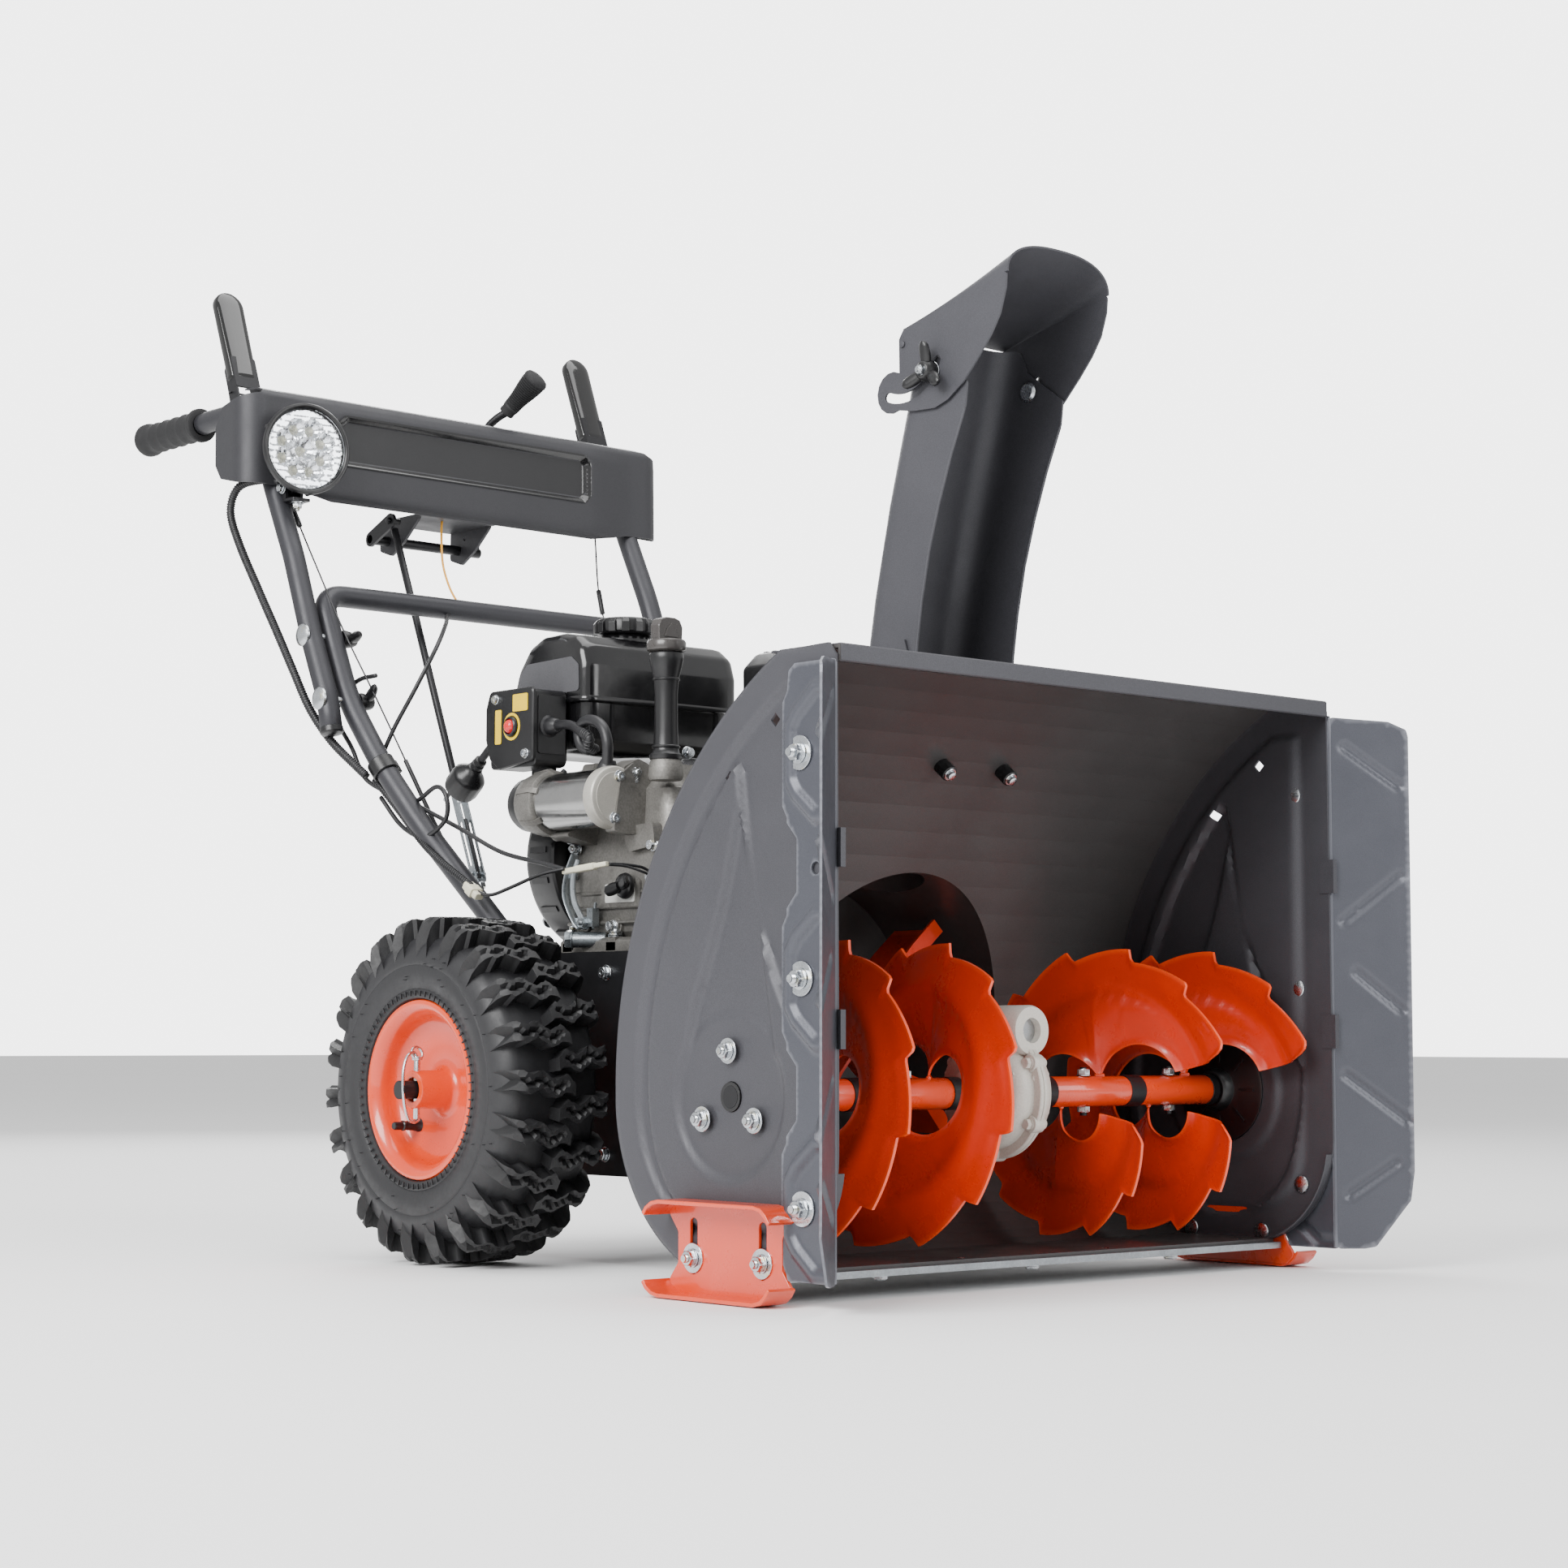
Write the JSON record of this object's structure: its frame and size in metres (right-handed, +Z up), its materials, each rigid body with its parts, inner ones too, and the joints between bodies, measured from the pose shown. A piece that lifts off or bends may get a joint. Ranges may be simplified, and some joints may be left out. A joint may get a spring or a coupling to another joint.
{
  "type": "two stage snowblower",
  "caption": "Walk-behind two stage snowblower: auger housing, impeller, turning chute with tilting deflector, engine, wheels, handles, levers and headlight.",
  "frame": {"origin": "on the ground, in the middle of the machine's overall box", "axes": "+Z up, -Y forward (auger side), +X to the operator's left"},
  "size_m": [0.814, 1.3916, 1.1188],
  "materials": {
    "housing_paint": "satin fine-texture powder coat",
    "plate_paint": "satin metallic graphite powder coat",
    "wing_paint": "satin blue-grey powder coat",
    "black_paint": "satin black paint",
    "orange_paint": "gloss powder coat",
    "auger_paint": "gloss powder coat",
    "zinc": "bright zinc plate",
    "gearbox_paint": "painted casting",
    "bronze": "machined",
    "steel": "machined",
    "belt_rubber": "matt",
    "black_plastic": "moulded, satin",
    "tank_plastic": "moulded, semi-gloss",
    "tyre": "moulded rubber",
    "tube_paint": "satin metallic powder coat",
    "grip_rubber": "moulded, ribbed",
    "console_plastic": "moulded, fine texture",
    "lamp_lens": "clear, faceted",
    "cast_alloy": "die cast",
    "grey_plastic": "moulded",
    "red_plastic": "moulded",
    "cable_rubber": "extruded"
  },
  "bodies": {
    "machine": {"auger_housing": "housing_paint", "side_plate_right": "plate_paint", "side_plate_left": "plate_paint", "scraper_bar": "black_paint", "impeller_housing": "housing_paint", "wing_right": "wing_paint", "wing_left": "wing_paint", "skid_shoes": "orange_paint", "housing_fasteners": "zinc", "auger_bearings": "black_paint", "auger_gearbox": "gearbox_paint", "drive_belt": "belt_rubber", "belt_cover": "black_plastic", "chassis_box": "black_paint", "handle_lower": "tube_paint", "handle_upper": "tube_paint", "grip_right": "grip_rubber", "grip_left": "grip_rubber", "handle_fasteners": "zinc", "console": "console_plastic", "headlight_bracket": "black_paint", "control_cables": "cable_rubber", "engine_block": "cast_alloy", "recoil_housing": "black_plastic", "fuel_tank": "tank_plastic", "oil_filler_tube": "black_plastic", "muffler_cover": "black_plastic", "starter_motor": "cast_alloy", "switch_box": "black_plastic", "plug": "cable_rubber", "plug_lead": "cable_rubber", "chute_ring": "black_paint"},
    "wheels": {"axle": "black_paint", "rim_right": "orange_paint", "rim_left": "orange_paint", "tyre_right": "tyre", "tyre_left": "tyre", "hub_pins": "zinc"},
    "auger": {"auger_shaft": "black_paint", "auger_right": "auger_paint", "auger_left": "auger_paint", "worm_wheel": "bronze"},
    "impeller": {"impeller": "auger_paint", "impeller_shaft": "steel", "impeller_pulley": "steel"},
    "crankshaft": {"crank_pulley": "steel"},
    "chute": {"chute": "plate_paint", "deflector_knobs": "black_plastic"},
    "deflector": {"deflector": "plate_paint"},
    "clutch_right": {"clutch_lever_right": "black_plastic"},
    "clutch_left": {"clutch_lever_left": "black_plastic"},
    "shift": {"shift_lever": "tube_paint", "shift_knob": "black_plastic"},
    "shift_rod": {"shift_rod": "tube_paint"},
    "headlight": {"headlight_shell": "black_plastic", "headlight_lens": "lamp_lens"},
    "start_button": {"start_button": "red_plastic"},
    "fuel_cap": {"fuel_cap": "black_plastic"},
    "dipstick_cap": {"dipstick_cap": "grey_plastic"},
    "choke_knob": {"choke_knob": "black_plastic"}
  },
  "joints": [
    {"name": "wheel_spin", "type": "hinge", "parent": "machine", "child": "wheels", "pos_m": [0, 0.0061, 0.179], "axis": [1, 0, 0], "continuous": true},
    {"name": "impeller_spin", "type": "hinge", "parent": "machine", "child": "impeller", "pos_m": [0, 0.0061, 0.24], "axis": [0, 1, 0], "continuous": true},
    {"name": "auger_spin", "type": "hinge", "parent": "machine", "child": "auger", "pos_m": [0, -0.5039, 0.18], "axis": [1, 0, 0], "continuous": true},
    {"name": "crank_spin", "type": "hinge", "parent": "machine", "child": "crankshaft", "pos_m": [0, 0.0061, 0.431], "axis": [0, 1, 0], "continuous": true},
    {"name": "chute_turn", "type": "hinge", "parent": "machine", "child": "chute", "pos_m": [0, -0.4149, 0.572], "axis": [0, -0.225, 0.9744], "range_deg": [-95, 95]},
    {"name": "deflector_tilt", "type": "hinge", "parent": "chute", "child": "deflector", "pos_m": [0, -0.4494, 0.916], "axis": [1, 0, 0], "range_deg": [-55, 10]},
    {"name": "clutch_right_press", "type": "hinge", "parent": "machine", "child": "clutch_right", "pos_m": [0, 0.4561, 0.95], "axis": [1, 0, 0], "range_deg": [-34, 0], "stiffness_Nm_per_rad": 2, "springref_deg": 14.32},
    {"name": "clutch_left_press", "type": "hinge", "parent": "machine", "child": "clutch_left", "pos_m": [0, 0.4561, 0.95], "axis": [1, 0, 0], "range_deg": [-34, 0], "stiffness_Nm_per_rad": 2, "springref_deg": 14.32},
    {"name": "gear_select", "type": "hinge", "parent": "machine", "child": "shift", "pos_m": [0, 0.4596, 0.8326], "axis": [1, 0, 0], "range_deg": [-8, 8]},
    {"name": "shift_rod_travel", "type": "slide", "parent": "machine", "child": "shift_rod", "axis": [0, 0.3875, 0.9219], "range_m": [-0.012, 0.012]},
    {"name": "start_press", "type": "slide", "parent": "machine", "child": "start_button", "axis": [1, 0, 0], "range_m": [0, 0.003], "stiffness_N_per_m": 400, "springref_m": -0.002},
    {"name": "headlight_tilt", "type": "hinge", "parent": "machine", "child": "headlight", "pos_m": [0, 0.3781, 0.862], "axis": [1, 0, 0], "range_deg": [-3, 7]},
    {"name": "fuel_cap_turn", "type": "hinge", "parent": "machine", "child": "fuel_cap", "pos_m": [0, 0.0761, 0.684], "axis": [0, 0, 1], "range_deg": [0, 110]},
    {"name": "dipstick_turn", "type": "hinge", "parent": "machine", "child": "dipstick_cap", "pos_m": [-0.09, -0.1059, 0.64], "axis": [0, 0, 1], "range_deg": [0, 330]},
    {"name": "choke_turn", "type": "hinge", "parent": "machine", "child": "choke_knob", "pos_m": [-0.1, -0.0499, 0.394], "axis": [1, 0, 0], "range_deg": [0, 90]}
  ],
  "couplings": [
    {"joint": "auger_spin", "follows": "impeller_spin", "ratio": 0.1},
    {"joint": "shift_rod_travel", "follows": "gear_select", "m_per_rad": -0.045}
  ]
}
